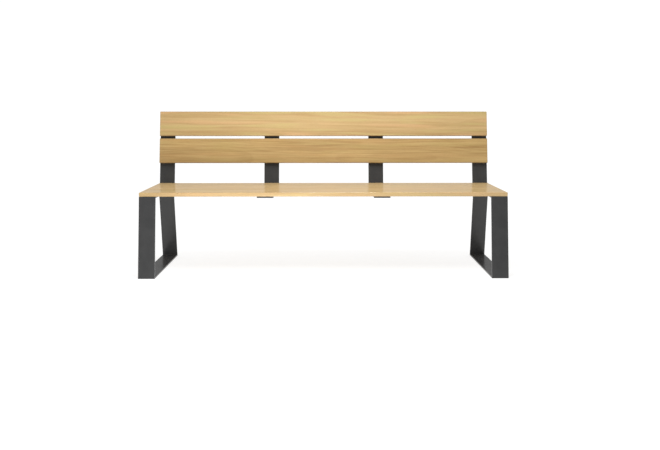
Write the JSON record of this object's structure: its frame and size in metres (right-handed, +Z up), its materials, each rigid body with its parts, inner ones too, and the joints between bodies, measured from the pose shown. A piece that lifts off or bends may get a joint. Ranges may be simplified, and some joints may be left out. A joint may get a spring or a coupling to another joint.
{
  "type": "park bench with backrest",
  "caption": "Street bench with a boarded seat and a leaning boarded backrest, carried on welded flat-bar end frames and L-shaped middle brackets.",
  "frame": {"origin": "on the ground, in the middle of the whole bench's box in X and Y", "axes": "+X along the bench to the right as seen from the front, +Y from the seat's front edge towards the backrest, +Z up"},
  "size_m": [2, 0.6105, 0.8926],
  "materials": {
    "seat_wood": "light hardwood, satin varnish",
    "back_wood": "light hardwood, satin varnish",
    "frame_steel": "dark grey powder coat, fine satin texture",
    "screw_steel": "stainless, plain"
  },
  "bodies": {
    "root": {"back_board_lower": "back_wood", "back_board_upper": "back_wood", "end_frame_left": "frame_steel", "end_frame_right": "frame_steel", "middle_left_bracket": "frame_steel", "middle_right_bracket": "frame_steel", "screw_left_back_board_lower_1": "screw_steel", "screw_left_back_board_lower_2": "screw_steel", "screw_left_back_board_upper_1": "screw_steel", "screw_left_back_board_upper_2": "screw_steel", "screw_left_seat_board_front_1": "screw_steel", "screw_left_seat_board_front_2": "screw_steel", "screw_left_seat_board_middle_1": "screw_steel", "screw_left_seat_board_middle_2": "screw_steel", "screw_left_seat_board_rear_1": "screw_steel", "screw_left_seat_board_rear_2": "screw_steel", "screw_middle_left_back_board_lower_1": "screw_steel", "screw_middle_left_back_board_lower_2": "screw_steel", "screw_middle_left_back_board_upper_1": "screw_steel", "screw_middle_left_back_board_upper_2": "screw_steel", "screw_middle_left_seat_board_front_1": "screw_steel", "screw_middle_left_seat_board_front_2": "screw_steel", "screw_middle_left_seat_board_middle_1": "screw_steel", "screw_middle_left_seat_board_middle_2": "screw_steel", "screw_middle_left_seat_board_rear_1": "screw_steel", "screw_middle_left_seat_board_rear_2": "screw_steel", "screw_middle_right_back_board_lower_1": "screw_steel", "screw_middle_right_back_board_lower_2": "screw_steel", "screw_middle_right_back_board_upper_1": "screw_steel", "screw_middle_right_back_board_upper_2": "screw_steel", "screw_middle_right_seat_board_front_1": "screw_steel", "screw_middle_right_seat_board_front_2": "screw_steel", "screw_middle_right_seat_board_middle_1": "screw_steel", "screw_middle_right_seat_board_middle_2": "screw_steel", "screw_middle_right_seat_board_rear_1": "screw_steel", "screw_middle_right_seat_board_rear_2": "screw_steel", "screw_right_back_board_lower_1": "screw_steel", "screw_right_back_board_lower_2": "screw_steel", "screw_right_back_board_upper_1": "screw_steel", "screw_right_back_board_upper_2": "screw_steel", "screw_right_seat_board_front_1": "screw_steel", "screw_right_seat_board_front_2": "screw_steel", "screw_right_seat_board_middle_1": "screw_steel", "screw_right_seat_board_middle_2": "screw_steel", "screw_right_seat_board_rear_1": "screw_steel", "screw_right_seat_board_rear_2": "screw_steel", "seat_board_front": "seat_wood", "seat_board_middle": "seat_wood", "seat_board_rear": "seat_wood"}
  },
  "joints": []
}
